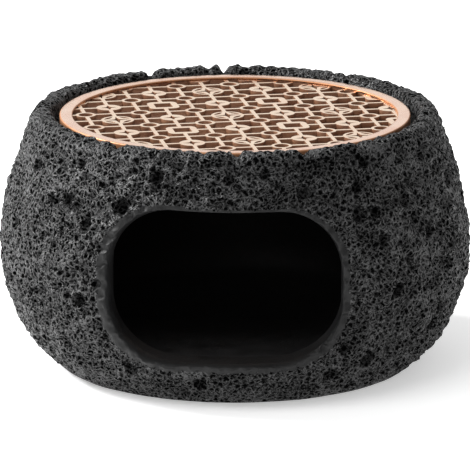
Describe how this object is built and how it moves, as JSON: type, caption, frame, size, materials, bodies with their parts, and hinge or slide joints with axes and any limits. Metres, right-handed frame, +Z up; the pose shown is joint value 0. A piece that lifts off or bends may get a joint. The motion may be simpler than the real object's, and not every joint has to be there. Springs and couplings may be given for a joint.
{
  "type": "tealight warmer",
  "caption": "Rough stone-look bowl with a wide mouth for a tealight and a lift-off pierced copper-toned plate that a pot stands on.",
  "frame": {"origin": "on the surface that the object stands on, under the middle of its bounding box", "axes": "+Z up, the mouth faces -Y, +X to the right of someone looking into the mouth"},
  "size_m": [0.1501, 0.145, 0.0824],
  "materials": {
    "stone": "rough cast, satin black",
    "ring_metal": "copper-toned, satin",
    "lattice_metal": "copper-toned, satin",
    "pad_silicone": "matte",
    "foot_rubber": "matte"
  },
  "bodies": {
    "bowl": {"stone_shell": "stone", "foot_1": "foot_rubber", "foot_2": "foot_rubber", "foot_3": "foot_rubber", "foot_4": "foot_rubber"},
    "plate": {"rim_ring": "ring_metal", "lattice_insert": "lattice_metal", "rattle_pad_1": "pad_silicone", "rattle_pad_2": "pad_silicone", "rattle_pad_3": "pad_silicone", "rattle_pad_4": "pad_silicone"}
  },
  "joints": [
    {"name": "plate_lift", "type": "slide", "parent": "bowl", "child": "plate", "axis": [0, 0, 1], "range_m": [0, 0.06]}
  ]
}
